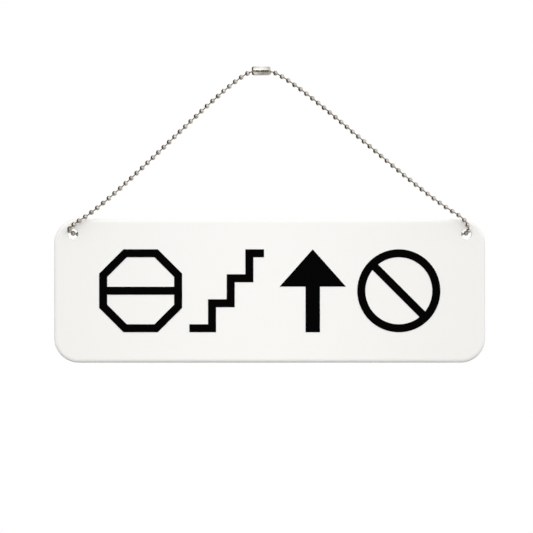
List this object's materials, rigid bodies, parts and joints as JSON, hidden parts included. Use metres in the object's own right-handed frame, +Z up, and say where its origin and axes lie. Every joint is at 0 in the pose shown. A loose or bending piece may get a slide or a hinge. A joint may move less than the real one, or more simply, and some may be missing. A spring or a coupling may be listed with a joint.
{
  "type": "notice plate",
  "caption": "Rectangular notice plate with rounded corners, hung on a ball chain that runs through its top holes and closes in a slotted tube coupling.",
  "frame": {"origin": "the hook point, in the middle of the coupling's underside", "axes": "+X to the right along the plate, -Y out of the printed front, +Z up"},
  "size_m": [0.21, 0.0099, 0.1443],
  "materials": {
    "white_plastic": "white glossy moulded plastic",
    "black_print": "flat black print",
    "nickel": "bright nickel plate"
  },
  "bodies": {
    "coupling": {"chain_coupling": "nickel"},
    "hanging_chain": {"chain_leg_left": "nickel", "chain_leg_right": "nickel"},
    "plate": {"notice_plate": "white_plastic", "print_octagon_bar": "black_print", "print_stairs": "black_print", "print_up_arrow": "black_print", "print_ring_bar": "black_print", "chain_through_left_hole": "nickel", "chain_through_right_hole": "nickel", "chain_back_run": "nickel"}
  },
  "joints": [
    {"name": "chain_swing", "type": "hinge", "parent": "coupling", "child": "hanging_chain", "pos_m": [0, 0, 0.00215], "axis": [-1, 0, 0], "range_deg": [-90, 90]},
    {"name": "plate_swing", "type": "hinge", "parent": "hanging_chain", "child": "plate", "pos_m": [0.004, -0.0025, -0.07587], "axis": [-1, 0, 0], "range_deg": [0, 120]}
  ]
}
